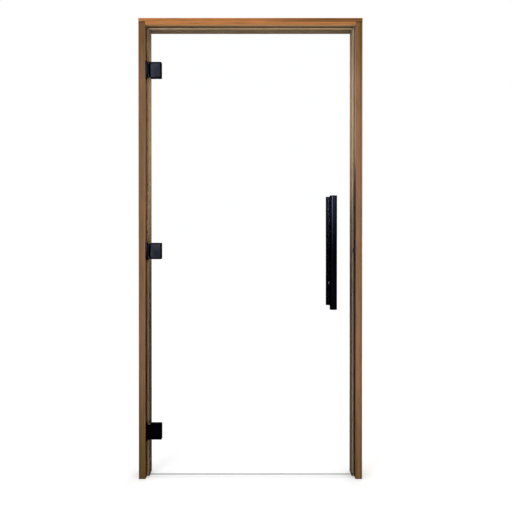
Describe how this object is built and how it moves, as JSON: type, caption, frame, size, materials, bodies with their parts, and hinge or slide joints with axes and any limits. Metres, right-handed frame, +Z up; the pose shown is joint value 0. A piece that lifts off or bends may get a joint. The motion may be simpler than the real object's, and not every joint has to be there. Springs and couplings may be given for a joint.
{
  "type": "sauna door",
  "caption": "Clear glass sauna door in a rebated timber frame, hung on side hinges, with a tube handle on each face and a roller catch.",
  "frame": {"origin": "middle of the hinge jamb's foot, on the floor", "axes": "+X from the hinge jamb to the latch jamb, +Y from the front of the frame to its back, +Z up; the leaf swings out over -Y"},
  "size_m": [0.99, 0.172, 2.04],
  "materials": {
    "wood": "heat-treated softwood, oiled, satin",
    "clear_glass": "clear toughened glass with polished edges",
    "black_metal": "satin black powder coat",
    "dark_steel": "blackened steel",
    "seal_rubber": "grey-brown silicone bulb seal, satin",
    "pad_rubber": "black rubber, matt",
    "black_plastic": "black nylon, satin"
  },
  "bodies": {
    "frame": {"hinge_jamb": "wood", "latch_jamb": "wood", "head": "wood", "hinge_side_seal": "seal_rubber", "latch_side_seal": "seal_rubber", "head_seal": "seal_rubber", "hinge_1_wall_leaf": "black_metal", "hinge_2_wall_leaf": "black_metal", "hinge_3_wall_leaf": "black_metal", "hinge_1_pin": "dark_steel", "hinge_2_pin": "dark_steel", "hinge_3_pin": "dark_steel", "catch_housing": "black_plastic", "catch_plate": "black_metal"},
    "leaf": {"glass": "clear_glass", "hinge_1_outer_plate": "black_metal", "hinge_2_outer_plate": "black_metal", "hinge_3_outer_plate": "black_metal", "hinge_1_inner_plate": "black_metal", "hinge_2_inner_plate": "black_metal", "hinge_3_inner_plate": "black_metal", "hinge_1_outer_pad": "pad_rubber", "hinge_2_outer_pad": "pad_rubber", "hinge_3_outer_pad": "pad_rubber", "hinge_1_inner_pad": "pad_rubber", "hinge_2_inner_pad": "pad_rubber", "hinge_3_inner_pad": "pad_rubber", "outer_handle_tube": "black_metal", "outer_handle_top_cap": "black_metal", "outer_handle_bottom_cap": "black_metal", "outer_upper_standoff": "black_metal", "outer_lower_standoff": "black_metal", "outer_upper_washer": "pad_rubber", "outer_lower_washer": "pad_rubber", "inner_handle_tube": "black_metal", "inner_handle_top_cap": "black_metal", "inner_handle_bottom_cap": "black_metal", "inner_upper_standoff": "black_metal", "inner_lower_standoff": "black_metal", "inner_upper_washer": "pad_rubber", "inner_lower_washer": "pad_rubber", "handle_upper_stud": "dark_steel", "handle_lower_stud": "dark_steel"},
    "carrier": {"catch_carrier": "black_plastic", "catch_roller_pin": "dark_steel"},
    "roller": {"catch_roller": "black_plastic"}
  },
  "joints": [
    {"name": "leaf_hinge", "type": "hinge", "parent": "frame", "child": "leaf", "pos_m": [0.0235, -0.038, 0], "axis": [0, 0, -1], "range_deg": [0, 110]},
    {"name": "catch_slide", "type": "slide", "parent": "frame", "child": "carrier", "axis": [1, 0, 0], "range_m": [0, 0.0065], "stiffness_N_per_m": 1500},
    {"name": "roller_spin", "type": "hinge", "parent": "carrier", "child": "roller", "pos_m": [0.9345, -0.034, 1.012], "axis": [0, 0, 1], "continuous": true}
  ]
}
